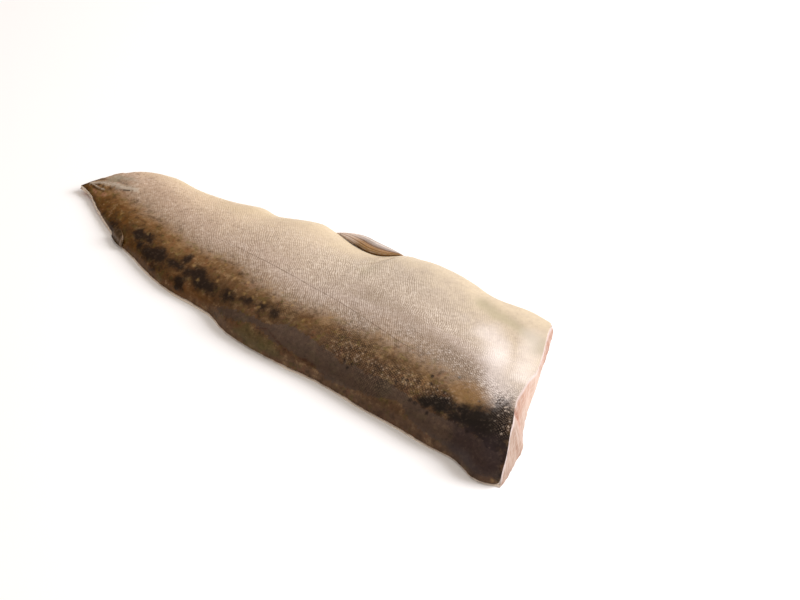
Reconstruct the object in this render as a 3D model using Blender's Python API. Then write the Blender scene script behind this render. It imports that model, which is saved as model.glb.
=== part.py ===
"""A raw Arctic char fillet, lying skin side up: the flesh, the skin that covers it,
the pelvic fin at the belly edge and the stub of the adipose fin at the back edge.

Run it with: blender --background --python part.py

+X runs from the tail to the head, +Y from the back edge to the belly edge, +Z up.
The origin is under the middle of the fillet, on the surface that it lies on.

The form is worked out as a grid: one way it counts stations along the fillet, from the
tail's cut to the head's, and the other way shares of the width, from 0 at the back edge
to 1 at the belly edge.
"""

import bpy
import numpy as np

MM = 0.001  # the dimensions below are millimetres, and Blender's are metres

# ---- plan ---------------------------------------------------------------------------------

# The skin's edges, as (distance from the tail's tip, distance from the tip towards the belly).
BACK_EDGE = [
    (0, 0), (10, -1.6), (23, -9.2), (35, -15.6), (48, -22), (64, -29.8), (81, -34.9), (107, -44.1),
    (129, -48.4), (150, -49), (165, -51.2), (176, -56.6), (204, -61.5), (237, -62),
    (262, -61.6), (297, -64.8), (326, -66.2), (345, -68.2), (368, -68.8), (386, -75.4), (401, -71),
]
BELLY_EDGE = [
    (0, 44), (22, 45.6), (45, 48.9), (70, 48.6), (87, 50.1), (103, 52.6), (118, 57), (133, 55.4),
    (148, 61.2), (161, 65.8), (178, 63.9), (195, 59.6), (208, 58.2), (217, 61.5), (225, 68.7),
    (240, 72.3), (260, 73.1), (281, 71.3), (305, 66.3), (330, 68.4), (350, 65.6),
]

# How far the flesh shows past the skin's edge along the back, against the distance from the tip.
BACK_RIM = [
    (0, 0.3), (60, 0.1), (95, 0.5), (118, 0.1), (135, 0.7), (158, 1), (172, 0), (228, -0.2),
    (237, 0.9), (246, 0), (256, 0.1), (300, 0.3), (345, 0), (366, -0.7), (388, -0.8), (401, 0),
]
BELLY_RIM = 0.6  # how far it shows along the belly

# The slanting cuts at the two ends, as (share of the width, distance from the tip).
TAIL_CUT = [
    (0, 0), (0.17, 3.5), (0.31, 6.2), (0.48, 9.6), (0.63, 13.2), (0.75, 18.3), (0.86, 24),
    (0.93, 31.5), (1, 43),
]
HEAD_CUT = [
    (0, 401), (0.05, 400.4), (0.1, 398.8), (0.18, 396.2), (0.24, 394.8), (0.28, 392.6),
    (0.35, 386), (0.43, 380.4), (0.55, 372.6), (0.62, 369.4), (0.72, 363.6), (0.79, 359.7),
    (0.87, 356.4), (0.95, 351.2), (1, 348),
]
# How far the knife's slant sets the skin back from the foot of the head end's cut.
HEAD_BEVEL = [
    (0, 0.3), (0.05, 0.7), (0.12, 2), (0.2, 4.4), (0.29, 6.5), (0.36, 5), (0.43, 2.2), (0.5, 0.6),
    (0.7, 0.4), (0.79, 0.6), (0.87, 2.2), (0.93, 2), (1, 0.5),
]

# ---- height -------------------------------------------------------------------------------

LOIN = 24.5  # height of the loin at the head end
# Height of the loin's crest, as a share of LOIN, against the distance from the tip.
CREST = [
    (0, 0.13), (25, 0.27), (60, 0.46), (120, 0.64), (200, 0.80), (290, 0.93), (350, 1), (402, 1),
]
CREST_AT_HEAD, CREST_AT_TAIL = 0.34, 0.42  # the crest's place, as a share of the width
BACK_FULLNESS, BACK_STEEPNESS = 2.6, 2.1  # powers of the curve from the back edge to the crest
BACK_SKIN_EDGE = 1.6  # height of the skin's cut edge along the back

BELLY_EDGE_AT_TAIL, BELLY_EDGE_AT_HEAD = 4.4, 6.0  # height of the belly edge where it is domed
BELLY_FULLNESS = 2.1  # power of the curve from the crest to the belly edge
FLAP = 8.5  # thickness of the belly wall beside the loin, towards the head
FLAP_STEP = (0.12, 0.60)  # where the loin steps down to it, as shares of the way to the edge
FLAP_FROM, FLAP_WHOLE = 175, 330  # the wall starts and is fully there, from the tail's tip
EDGE_ROUND, EDGE_ROUND_FROM = 1.8, 0.955  # how far the belly edge is rounded off, from where

TAIL_LIFT = 3.4  # how far the tip of the tail stands off the surface
CURLED = 62.0  # length of tail that curls up off the surface

# Soft folds of skin at the tail: the fold's line in plan, its height and its half width.
TAIL_FOLDS = [
    ([(8, 3), (20, 14), (36, 19)], 1.3, 3.2),
    ([(15, 5), (26, 9.5), (40, 13)], 0.9, 2.8),
    ([(30, 23), (52, 30), (76, 32)], 1.4, 9.0),
]
# The crease where the pelvic fin's base pulls on the belly skin.
FIN_CREASE = ([(224, 64), (210, 48), (186, 38)], -1.3, 6.0)

# ---- thicknesses and fins -----------------------------------------------------------------

SKIN = 0.8
GAP = 0.3  # clearance between solids that touch

# The pelvic fin's outer edge in plan, its highest point, its lowest and its thickness.
FIN_OUTLINE = [(174.5, 66), (183, 71.5), (194, 74.3), (203, 73.6), (216, 73.2), (226, 72.6)]
FIN_TOP, FIN_FOOT, FIN_THICKNESS = 5.9, 0.5, 1.2
FIN_RAYS, RAY_RELIEF = 4, 0.22

# The adipose fin's stub: its start from the tail's tip, length, overhang and thickness.
STUB_START, STUB_LENGTH, STUB_OVERHANG, STUB_THICKNESS = 55.0, 15.0, 0.9, 1.0
STUB_ON_SKIN = 0.07  # share of the width that it lies over
STUB_SLANT = 3.0  # how far its free edge trails towards the tail

STATIONS, STRIPS = 64, 22  # slices along the fillet, and strips across it


# ---- curves -------------------------------------------------------------------------------

def through(points, at):
    """A smooth line through the points, read at the values given."""
    x, y = np.array(points, float).T
    slope = np.gradient(y, x)
    at = np.clip(at, x[0], x[-1])
    k = np.clip(np.searchsorted(x, at, side="right") - 1, 0, len(x) - 2)
    span = x[k + 1] - x[k]
    u = (at - x[k]) / span
    start = y[k] * (1 + 2 * u) * (1 - u) ** 2 + slope[k] * span * u * (1 - u) ** 2
    end = y[k + 1] * u * u * (3 - 2 * u) + slope[k + 1] * span * u * u * (u - 1)
    return start + end


def smooth_step(low, high, at):
    u = np.clip((at - low) / (high - low), 0, 1)
    return u * u * (3 - 2 * u)


def ridge(x, y, line, height, half_width):
    """A soft ridge along a line of points in plan, or a crease where the height is negative."""
    nearest = np.full(np.shape(x), np.inf)
    for (ax, ay), (bx, by) in zip(line, line[1:]):
        reach = (bx - ax) ** 2 + (by - ay) ** 2
        u = np.clip(((x - ax) * (bx - ax) + (y - ay) * (by - ay)) / reach, 0, 1)
        nearest = np.minimum(nearest, np.hypot(x - ax - u * (bx - ax), y - ay - u * (by - ay)))
    return height * np.exp(-((nearest / half_width) ** 2))


# ---- the fillet's form --------------------------------------------------------------------

def tail_lift(x, share):
    """How far the tail end has curled up off the surface, most of all at its tip."""
    belly_curls_less = 1 - 0.45 * share
    return TAIL_LIFT * np.clip(1 - x / CURLED, 0, 1) ** 2 * belly_curls_less


def skin_height(x, share):
    """Height of the skin at x, at this share of the width from the back edge to the belly."""
    height = LOIN * through(CREST, x)
    crest_at = CREST_AT_HEAD + (CREST_AT_TAIL - CREST_AT_HEAD) * smooth_step(220, 60, x)

    up_the_back = np.clip(share / crest_at, 0, 1)
    rise = (1 - (1 - up_the_back) ** BACK_FULLNESS) ** (1 / BACK_STEEPNESS)
    back_side = BACK_SKIN_EDGE + (height - BACK_SKIN_EDGE) * rise

    past_crest = np.clip((share - crest_at) / (1 - crest_at), 0, 1)
    edge = BELLY_EDGE_AT_TAIL + (BELLY_EDGE_AT_HEAD - BELLY_EDGE_AT_TAIL) * smooth_step(30, 200, x)
    edge = np.minimum(edge, 0.85 * height)
    dome = edge + (height - edge) * (1 - past_crest ** BELLY_FULLNESS)
    loin_top = height * (1 - 0.12 * past_crest)
    walled = FLAP + (loin_top - FLAP) * (1 - smooth_step(*FLAP_STEP, past_crest))
    belly_side = dome + (walled - dome) * smooth_step(FLAP_FROM, FLAP_WHOLE, x)

    to_edge = np.clip((share - EDGE_ROUND_FROM) / (1 - EDGE_ROUND_FROM), 0, 1)
    return np.where(share < crest_at, back_side, belly_side - EDGE_ROUND * to_edge ** 2)


def waves(x, share):
    """The slack of skin and flesh as they lie: long, low waves, more of them on the belly."""
    along_belly = 0.54 * np.sin(x / 19 + 0.6) + 0.30 * np.sin(x / 8.5 + 2.1)
    over_all = 0.5 * np.sin(x / 31 + 5 * share)
    inside = smooth_step(0, 0.2, share) * smooth_step(1.05, 0.9, share)
    both = along_belly * smooth_step(0.55, 0.95, share) + over_all * inside
    return both * smooth_step(0, 60, x)


def plan_y(x, share, back_rim=0.0, belly_rim=0.0):
    back = through(BACK_EDGE, x) - back_rim
    belly = through(BELLY_EDGE, x) + belly_rim
    return back + share * (belly - back)


def skin_surface(x, share):
    """Points of the skin's outside, at these distances from the tip and shares of the width."""
    y = plan_y(x, share)
    z = skin_height(x, share) + waves(x, share) + tail_lift(x, share)
    for line, height, half_width in [*TAIL_FOLDS, FIN_CREASE]:
        z = z + ridge(x, y, line, height, half_width)
    return np.stack([x, y, z], axis=-1)


def closer_at_the_ends(count):
    """Shares of the length from 0 to 1, closer together towards the tail and the head."""
    even = np.linspace(0, 1, 401)
    density = 1 + 1.8 * np.exp(-even / 0.10) + 0.8 * np.exp(-(1 - even) / 0.06)
    total = np.concatenate([[0], np.cumsum((density[1:] + density[:-1]) / 2)])
    return np.interp(np.linspace(0, 1, count) * total[-1], total, even)


def station_grid(head_line):
    """x and the share of the width, for each point of a grid that ends on the two cuts."""
    closer_at_the_back = 1.3
    shares = np.linspace(0, 1, STRIPS + 1) ** closer_at_the_back
    start, end = through(TAIL_CUT, shares), head_line(shares)
    x = start + closer_at_the_ends(STATIONS + 1)[:, None] * (end - start)
    return x, np.broadcast_to(shares, x.shape)


# ---- grids into solids --------------------------------------------------------------------

def normals_of(grid):
    """The unit normals of a grid of points, on its upper side."""
    along, across = np.gradient(grid, axis=0), np.gradient(grid, axis=1)
    cross = np.cross(along, across)
    return cross / np.linalg.norm(cross, axis=2, keepdims=True)


def rim_of(grid):
    """The values round the rim of a grid: back edge, head end, belly edge, tail end."""
    return np.concatenate([grid[:, 0], grid[-1, 1:], grid[-2::-1, -1], grid[0, -2:0:-1]])


def solid_between(name, upper, lower, material, parent, bands=()):
    """One closed object between two grids of points, with a wall round their rim.

    The wall passes through the bands: rings of points from the upper rim down to the lower.
    """
    rows, columns = upper.shape[:2]
    upper_index = np.arange(rows * columns).reshape(rows, columns)
    lower_index = upper_index + rows * columns
    faces = []
    for i in range(rows - 1):
        for j in range(columns - 1):
            for corners in ([(0, 0), (1, 0), (1, 1)], [(0, 0), (1, 1), (0, 1)]):
                above = [int(upper_index[i + a, j + b]) for a, b in corners]
                faces.append(above)
                faces.append([index + rows * columns for index in reversed(above)])
    rings = [rim_of(upper_index)]
    for number, band in enumerate(bands):
        rings.append(2 * rows * columns + number * len(band) + np.arange(len(band)))
    rings.append(rim_of(lower_index))
    for above, below in zip(rings, rings[1:]):
        for here in range(len(above)):
            after = (here + 1) % len(above)
            faces.append([int(above[after]), int(above[here]), int(below[here]), int(below[after])])
    mesh = bpy.data.meshes.new(name)
    points = np.concatenate([upper.reshape(-1, 3), lower.reshape(-1, 3), *bands]) * MM
    mesh.from_pydata(points.tolist(), [], faces)
    mesh.materials.append(material)
    mesh.shade_smooth()
    mesh.set_sharp_from_angle(angle=np.radians(50))
    made = bpy.data.objects.new(name, mesh)
    bpy.context.scene.collection.objects.link(made)
    made.parent = parent
    return made


def wet_material(name, colour, roughness):
    made = bpy.data.materials.new(name)
    made.use_nodes = True
    shader = made.node_tree.nodes["Principled BSDF"]
    shader.inputs["Base Color"].default_value = (*colour, 1)
    shader.inputs["Roughness"].default_value = roughness
    shader.inputs["Metallic"].default_value = 0
    return made


# ---- the sub-parts ------------------------------------------------------------------------

def build_skin_and_flesh(parent):
    x, share = station_grid(lambda s: through(HEAD_CUT, s) - through(HEAD_BEVEL, s))
    outside = skin_surface(x, share)
    inward = -normals_of(outside)
    skin_colour = wet_material("char_skin", (0.30, 0.24, 0.17), 0.35)
    solid_between("skin", outside, outside + inward * SKIN, skin_colour, parent)

    foot_x, foot_share = station_grid(lambda s: through(HEAD_CUT, s))
    foot_y = plan_y(foot_x, foot_share, through(BACK_RIM, foot_x), BELLY_RIM)
    foot = np.stack([foot_x, foot_y, tail_lift(foot_x, foot_share)], axis=-1)
    top = outside + inward * (SKIN + GAP)
    bands = wall_bands(rim_of(top), rim_of(foot), rim_of(foot_share))
    flesh_colour = wet_material("char_flesh", (0.82, 0.40, 0.22), 0.45)
    solid_between("flesh", top, foot, flesh_colour, parent, bands)


def wall_bands(top, foot, share):
    """Two rings of the flesh's side. Along the back they pass under the skin's cut edge."""
    shoulder = top + (foot - top) * 0.34
    heel = top + (foot - top) * 0.70
    back = share == 0
    under_skin, under_rim = 0.45, 0.8
    shoulder[back] = top[back] - np.array([0, 0, under_skin])
    heel[back] = foot[back]
    heel[back, 2] = top[back, 2] - under_rim
    return shoulder, heel


def build_pelvic_fin(parent):
    """The fin lies folded back against the belly edge, leaning down and outwards."""
    x = np.linspace(FIN_OUTLINE[0][0], FIN_OUTLINE[-1][0], 21)[:, None]
    outer = through(FIN_OUTLINE, x)
    inner = through(BELLY_EDGE, x) + BELLY_RIM + GAP + 0.1
    across = np.linspace(0, 1, 4 * FIN_RAYS + 1)
    y = inner + across * (outer - inner)
    width = (outer - inner) / (outer - inner).max()
    lean = 1 - 0.75 * across ** 1.6 - 0.25 * (1 - across) ** 4
    rays = RAY_RELIEF * np.sin(2 * np.pi * FIN_RAYS * across) * smooth_step(0, 0.4, width)
    z = FIN_FOOT + FIN_THICKNESS + (FIN_TOP - FIN_FOOT - FIN_THICKNESS) * lean * width ** 0.4 + rays
    upper = np.stack([np.broadcast_to(x, y.shape), y, z], axis=-1)
    lower = upper - [0, 0, FIN_THICKNESS]
    fin_colour = wet_material("pelvic_fin", (0.36, 0.29, 0.22), 0.4)
    solid_between("pelvic_fin", upper, lower, fin_colour, parent)


def build_adipose_fin(parent):
    """A soft flap without rays, cut short, that folds over the back edge near the tail."""
    along = np.linspace(0, 1, 15)[:, None]
    out = np.linspace(1, 0, 9)[None, :]
    skin_edge_at = 0.7  # share of the way out at which it passes the skin's edge
    bulge = np.sin(np.pi * np.clip(along, 0.04, 0.96)) ** 0.6
    share, x = np.broadcast_arrays(
        np.clip(1 - out / skin_edge_at, 0, 1) * STUB_ON_SKIN * bulge,
        STUB_START + STUB_LENGTH * along - STUB_SLANT * out * bulge,
    )
    past = np.clip((out - skin_edge_at) / (1 - skin_edge_at), 0, 1) * STUB_OVERHANG * bulge
    sideways = np.stack([np.zeros_like(past), -past - GAP, 0.1 * past], axis=-1)
    away = np.array([0, -0.72, 0.69])  # out from the steep side of the back
    lower = skin_surface(x, share) + sideways + away * 2 * GAP
    thinner_outwards = (1 - 0.45 * out[..., None]) * bulge[..., None] ** 0.5
    upper = lower + away * STUB_THICKNESS * thinner_outwards
    stub_colour = wet_material("adipose_fin", (0.14, 0.11, 0.06), 0.4)
    solid_between("adipose_fin", upper, lower, stub_colour, parent)


def centre_on_origin(parent):
    """Moves the empty so that the whole stands on the origin, with its middle over it."""
    bpy.context.view_layer.update()
    corners = np.array([
        made.matrix_world @ vertex.co for made in parent.children for vertex in made.data.vertices
    ])
    low, high = corners.min(axis=0), corners.max(axis=0)
    parent.location = (-(low[0] + high[0]) / 2, -(low[1] + high[1]) / 2, -low[2])


def main():
    for old in list(bpy.data.objects):
        bpy.data.objects.remove(old)
    fillet = bpy.data.objects.new("fillet_origin", None)
    bpy.context.scene.collection.objects.link(fillet)
    build_skin_and_flesh(fillet)
    build_pelvic_fin(fillet)
    build_adipose_fin(fillet)
    centre_on_origin(fillet)


main()
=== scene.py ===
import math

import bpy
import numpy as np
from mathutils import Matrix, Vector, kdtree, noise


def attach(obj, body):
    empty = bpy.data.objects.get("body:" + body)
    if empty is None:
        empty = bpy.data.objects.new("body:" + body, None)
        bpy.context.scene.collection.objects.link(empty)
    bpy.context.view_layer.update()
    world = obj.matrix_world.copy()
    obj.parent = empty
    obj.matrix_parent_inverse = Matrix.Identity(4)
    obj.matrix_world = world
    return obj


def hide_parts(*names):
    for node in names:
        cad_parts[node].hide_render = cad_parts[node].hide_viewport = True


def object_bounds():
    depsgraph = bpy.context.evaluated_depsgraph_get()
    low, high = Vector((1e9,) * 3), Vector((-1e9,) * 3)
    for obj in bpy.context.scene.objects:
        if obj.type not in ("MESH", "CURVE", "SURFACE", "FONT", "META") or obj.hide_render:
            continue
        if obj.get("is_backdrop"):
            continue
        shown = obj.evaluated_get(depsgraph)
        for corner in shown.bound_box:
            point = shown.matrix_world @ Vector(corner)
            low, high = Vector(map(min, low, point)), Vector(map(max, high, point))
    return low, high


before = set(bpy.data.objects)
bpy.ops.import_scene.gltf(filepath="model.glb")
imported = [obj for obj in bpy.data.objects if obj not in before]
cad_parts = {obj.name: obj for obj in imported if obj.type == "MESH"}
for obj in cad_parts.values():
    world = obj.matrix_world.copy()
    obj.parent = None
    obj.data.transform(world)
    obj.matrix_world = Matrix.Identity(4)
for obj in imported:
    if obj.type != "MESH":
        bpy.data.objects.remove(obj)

# %% [markdown]
# A raw Arctic char fillet, lying skin side up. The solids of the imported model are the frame: they say
# how long, wide and thick the flesh, the skin and the two fins are, and where each one lies. This
# lesson dresses them. Every solid is copied, refined, given its fine relief and its finish, and the
# copy then stands for the solid. Lengths are metres, and a mark on the fish is given in millimetres.

MM = 0.001
cad_low, cad_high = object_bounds()
print("solid model, mm:", [round((b - a) / MM, 1) for a, b in zip(cad_low, cad_high)])

# %% [markdown]
# The camera comes first, because it decides how fine the detail has to be. It looks down on the
# fillet from the side of the back and the head, through a long lens that keeps the shape true. It is
# placed by turning it round an aim point, so that its two angles and its distance are easy to read.

# %% The camera
AIM = Vector((0.0505, 0.0353, 0.0))
AZIMUTH, ELEVATION = math.radians(36.65), math.radians(38.0)
DISTANCE = 1.2186
LENS_MM = 85

away = Vector((
    math.sin(AZIMUTH) * math.cos(ELEVATION),
    -math.cos(AZIMUTH) * math.cos(ELEVATION),
    math.sin(ELEVATION),
))
camera = bpy.data.objects.new("camera", bpy.data.cameras.new("camera"))
bpy.context.scene.collection.objects.link(camera)
camera.data.lens = LENS_MM
camera.data.clip_start, camera.data.clip_end = 0.05, 20
camera.location = AIM + away * DISTANCE
camera.rotation_euler = away.to_track_quat("Z", "Y").to_euler()
bpy.context.scene.camera = camera
print("camera at", [round(c, 3) for c in camera.location])

# %% [markdown]
# Before the fish, a few tools. Colours are written as they look on a screen, because that is how a
# maker picks them, and one function turns them to the linear light that Blender counts in. Materials
# could be wired by hand in the editor; here one function adds a node with its settings and links, so
# that a whole material can be read from top to bottom. The other tools pick, read and move a mesh.

# %% Colours are written as a screen shows them, and made linear by one function
bpy.context.scene.view_settings.view_transform = "Standard"


def linear(code):
    """A colour such as #d8c4a8, as Blender's linear red, green, blue and alpha."""
    parts = [int(code[i:i + 2], 16) / 255 for i in (1, 3, 5)]
    return (*[c / 12.92 if c <= 0.04045 else ((c + 0.055) / 1.055) ** 2.4 for c in parts], 1)


print("the cream of the belly, linear:", [round(part, 2) for part in linear("#cdbda3")])

# %% One function adds a node, with its settings and its links
def add(tree, kind, settings=None, **links):
    """Adds a node, sets it up, links it and hands it back.

    A link is named after its socket, with _ for a blank, or inN for the Nth socket. It takes a
    number, a colour such as #d8c4a8, another node, whose first result it uses, or a socket.
    """
    made = tree.nodes.new("ShaderNode" + kind)
    for name, value in (settings or {}).items():
        if name == "stops":
            points = made.color_ramp.elements
            points.remove(points[1])
            points[0].position, points[0].color = value[0][0], linear(value[0][1])
            for place, code in value[1:]:
                points.new(place).color = linear(code)
        else:
            setattr(made, name, value)
    for name, value in links.items():
        numbered = name.startswith("in") and name[2:].isdigit()
        socket = made.inputs[int(name[2:])] if numbered else made.inputs[name.replace("_", " ")]
        if isinstance(value, bpy.types.Node):
            value = next(result for result in value.outputs if result.enabled)
        if isinstance(value, bpy.types.NodeSocket):
            tree.links.new(value, socket)
        else:
            socket.default_value = linear(value) if isinstance(value, str) else value
    return made


# %% An empty material to fill
def new_material(name):
    """A material with no nodes yet, and its tree."""
    made = bpy.data.materials.new(name)
    made.use_nodes = True
    made.node_tree.nodes.clear()
    return made, made.node_tree


# %% Picking a piece, and picking faces on it
def pick(piece):
    """Selects this piece alone and makes it the active one."""
    bpy.ops.object.select_all(action="DESELECT")
    piece.select_set(True)
    bpy.context.view_layer.objects.active = piece


def pick_faces(piece, test):
    """Selects the faces whose middle and normal pass the test, and makes the first one active."""
    mesh = piece.data
    for part in (mesh.vertices, mesh.edges):
        part.foreach_set("select", np.zeros(len(part), bool))
    chosen = np.array([bool(test(f.center, f.normal)) for f in mesh.polygons])
    mesh.polygons.foreach_set("select", chosen)
    mesh.polygons.active = int(np.argmax(chosen))


# %% Reading and moving a mesh's points, and storing a painted layer on them
def read(items, name, width):
    """One property of all points, corners or faces, as rows of an array."""
    values = np.empty(len(items) * width, np.float32)
    items.foreach_get(name, values)
    return values.reshape(-1, width).astype(float)


def move_points(piece, places):
    piece.data.vertices.foreach_set("co", places.astype(np.float32).ravel())
    piece.data.update()


def store(piece, name, values):
    """Keeps one number for each point, which a material can read by this name."""
    layer = piece.data.attributes.get(name) or piece.data.attributes.new(name, "FLOAT", "POINT")
    layer.data.foreach_set("value", np.asarray(values, np.float32))
    print(f"{piece.name}, layer {name}: {np.min(values):.2f} to {np.max(values):.2f}")


def stored(piece, name):
    return read(piece.data.attributes[name].data, "value", 1)[:, 0]


def finish_with(piece, kind, **settings):
    """Adds a modifier and applies it."""
    pick(piece)
    made = piece.modifiers.new(kind.title(), kind)
    for name, value in settings.items():
        setattr(made, name, value)
    bpy.ops.object.modifier_apply(modifier=made.name)


# %% A merged copy of a solid
TOUCHING = 0.01 * MM


def copy_of(node, name):
    """A copy of a CAD node, its loose triangles joined into one surface."""
    made = bpy.data.objects.new(name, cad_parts[node].data.copy())
    bpy.context.scene.collection.objects.link(made)
    made.data.materials.clear()
    pick(made)
    bpy.ops.object.mode_set(mode="EDIT")
    bpy.ops.mesh.select_all(action="SELECT")
    bpy.ops.mesh.remove_doubles(threshold=TOUCHING)
    bpy.ops.mesh.customdata_custom_splitnormals_clear()
    bpy.ops.object.mode_set(mode="OBJECT")
    print(name, "starts with", len(made.data.vertices), "points")
    return made


# %% [markdown]
# The skin of a char is a hide about 0.8 mm thick, with scales so small that they read as a grain. It
# could be drawn as a picture on the solid, but its folds, its wet highlights and its cut edge need a
# real surface. So the solid's outside is lifted off, turned into a net of four-sided faces, made
# finer and given a wall of its own. The net also lets the pattern follow the body, because its rows
# and columns run round and along the fish.

# %% The skin's outside, lifted off and made four-sided
FOLLOWS_ROUND = math.radians(45)  # neighbouring faces that turn less than this are one surface

skin = copy_of("skin", "char_skin")
highest = max(face.center.z for face in skin.data.polygons)
pick_faces(skin, lambda middle, normal: middle.z == highest)
bpy.ops.object.mode_set(mode="EDIT")
bpy.ops.mesh.select_mode(type="FACE")
bpy.ops.mesh.faces_select_linked_flat(sharpness=FOLLOWS_ROUND)
bpy.ops.mesh.select_all(action="INVERT")
bpy.ops.mesh.delete(type="FACE")
bpy.ops.mesh.select_all(action="SELECT")
bpy.ops.mesh.tris_convert_to_quads(
    face_threshold=math.pi, shape_threshold=math.pi, topology_influence=1.5
)
bpy.ops.object.mode_set(mode="OBJECT")
print("the net has", len(skin.data.polygons), "faces,",
      sum(len(face.vertices) != 4 for face in skin.data.polygons), "of them not four-sided")

# %% Its rows and columns, counted by laying the faces out like squared paper
skin.data.uv_layers.new(name="hide")
highest = max(face.center.z for face in skin.data.polygons)
pick_faces(skin, lambda middle, normal: middle.z == highest)
bpy.ops.object.mode_set(mode="EDIT")
bpy.ops.uv.reset()
bpy.ops.mesh.select_all(action="SELECT")
bpy.ops.object.mode_set(mode="OBJECT")
hide_map = skin.data.uv_layers["hide"]
for chosen in (hide_map.vertex_selection, hide_map.edge_selection):
    chosen.foreach_set("value", np.ones(len(chosen), bool))
bpy.ops.object.mode_set(mode="EDIT")
bpy.ops.uv.follow_active_quads(mode="EVEN")
bpy.ops.object.mode_set(mode="OBJECT")

corner_point = read(skin.data.loops, "vertex_index", 1)[:, 0].astype(int)
counts = np.zeros((len(skin.data.vertices), 2))
counts[corner_point] = read(skin.data.uv_layers["hide"].uv, "vector", 2)
counts = np.rint(counts - counts.min(axis=0)).astype(int)
print("squares along and round:", counts.max(axis=0))

# %% The net as a table of points, from the tail to the head and from the back to the belly
if counts[:, 0].max() < counts[:, 1].max():
    counts = counts[:, ::-1]
net = np.empty(counts.max(axis=0) + 1, int)
net[tuple(counts.T)] = np.arange(len(counts))
places = read(skin.data.vertices, "co", 3)
if places[net[0, 0], 0] > places[net[-1, 0], 0]:
    net = net[::-1]
if places[net[0, 0], 1] > places[net[0, -1], 1]:
    net = net[:, ::-1]
print("rows from the tail, columns from the back:", net.shape)

# %% Where each point lies on the hide: how far along, how far round, and its share of the width
tail_tip = places[np.argmin(places[:, 0])]
# The lateral line in plan, as (mm from the tail's tip, mm towards the belly).
LATERAL_LINE = [
    (0, 1), (110, 0.5), (150, -2), (193, -5.4), (220, -8.9), (243, -11.7), (266, -16),
    (295, -22), (340, -25), (401, -29),
]

lay = places[net]
along = (lay[..., 0] - tail_tip[0]) / MM
steps = np.linalg.norm(np.diff(lay, axis=1), axis=2) / MM
girth = np.pad(np.cumsum(steps, axis=1), ((0, 0), (1, 0)))
steps_in_plan = np.linalg.norm(np.diff(lay[..., :2], axis=1), axis=2)
share = np.pad(np.cumsum(steps_in_plan, axis=1), ((0, 0), (1, 0)))
share /= share[:, -1:]
line_y = tail_tip[1] + np.interp(along, *np.transpose(LATERAL_LINE)) * MM
line_girth = np.array([np.interp(0, y, g) for y, g in zip(lay[..., 1] - line_y, girth)])
for name, values in (("along", along), ("girth", girth), ("share", share)):
    flat = np.empty(net.size)
    flat[net] = values
    store(skin, name, flat)

# %% A flat map of the hide, in metres, with the lateral line laid straight
hide_place = np.empty((net.size, 2))
hide_place[net] = np.stack([along, girth - line_girth[:, None]], axis=-1) * MM
skin.data.uv_layers["hide"].uv.foreach_set("vector", hide_place[corner_point].astype(np.float32).ravel())
print("the hide is", round(girth[:, -1].max()), "mm round at its widest")

# %% A finer net, and finer still where the folds and the small marks are
FINER = 2
finish_with(skin, "SUBSURF", levels=FINER, render_levels=FINER)
FOLDED_MM, FOLDED_SHARE = (0, 46), (0, 0.66)
MARKED_MM, MARKED_SHARE = (46, 202), (0.04, 0.28)
along_here, share_here = stored(skin, "along"), stored(skin, "share")
small = np.array([
    FOLDED_MM[0] <= a <= FOLDED_MM[1] and FOLDED_SHARE[0] <= s <= FOLDED_SHARE[1]
    or MARKED_MM[0] <= a <= MARKED_MM[1] and MARKED_SHARE[0] <= s <= MARKED_SHARE[1]
    for a, s in ((along_here[list(f.vertices)].mean(), share_here[list(f.vertices)].mean())
                 for f in skin.data.polygons)
])
pick(skin)
skin.data.polygons.foreach_set("select", small)
bpy.ops.object.mode_set(mode="EDIT")
bpy.ops.mesh.subdivide(number_cuts=1, smoothness=1)
bpy.ops.object.mode_set(mode="OBJECT")
print("the finer net has", len(skin.data.polygons), "faces, after", int(small.sum()), "were divided")

# %% [markdown]
# Marks and folds are put on the hide one by one, with a soft round brush, a soft line and an outline
# that is filled. Each is placed by its distance from the tail's tip and by its share of the way from
# the back edge to the belly edge, and its size is measured over the skin, so that it keeps its form
# where the back is steep. The painted layers stay soft: the material's noise frays their edges.

# %% Where a mark lies on the hide, and how far a point is from a line of marks
ALONG, GIRTH, SHARE = (stored(skin, name) for name in ("along", "girth", "share"))
HIDE = np.stack([ALONG, GIRTH], axis=1)
WIDTH_MM = 140  # makes a share of the width comparable with a distance along the body


def on_hide(along_mm, share_of_width):
    """The place on the hide, in mm along and round, that is nearest to this mark's."""
    apart = np.hypot(ALONG - along_mm, (SHARE - share_of_width) * WIDTH_MM)
    return HIDE[np.argmin(apart)]


def distance_from(line):
    """How far each point of the hide is from a line through the marks, in mm."""
    stops = [on_hide(*mark) for mark in line]
    nearest = np.full(len(HIDE), np.inf)
    for start, end in zip(stops, stops[1:]):
        run = end - start
        part = np.clip((HIDE - start) @ run / max(run @ run, 1e-9), 0, 1)
        nearest = np.minimum(nearest, np.linalg.norm(HIDE - start - part[:, None] * run, axis=1))
    return nearest


print("the brushes work on", len(HIDE), "points")


# %% Soft dabs, soft lines and filled outlines
def dabs(marks):
    """A layer of soft round dabs, each (along, share, radius in mm, strength)."""
    layer = np.zeros(len(HIDE))
    for along_mm, share_of_width, radius, strength in marks:
        apart = np.linalg.norm(HIDE - on_hide(along_mm, share_of_width), axis=1)
        layer = np.maximum(layer, strength * np.exp(-((apart / radius) ** 2)))
    return layer


def stroke(line, half_width):
    """A layer with one soft line."""
    return np.exp(-((distance_from(line) / half_width) ** 2))


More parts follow.
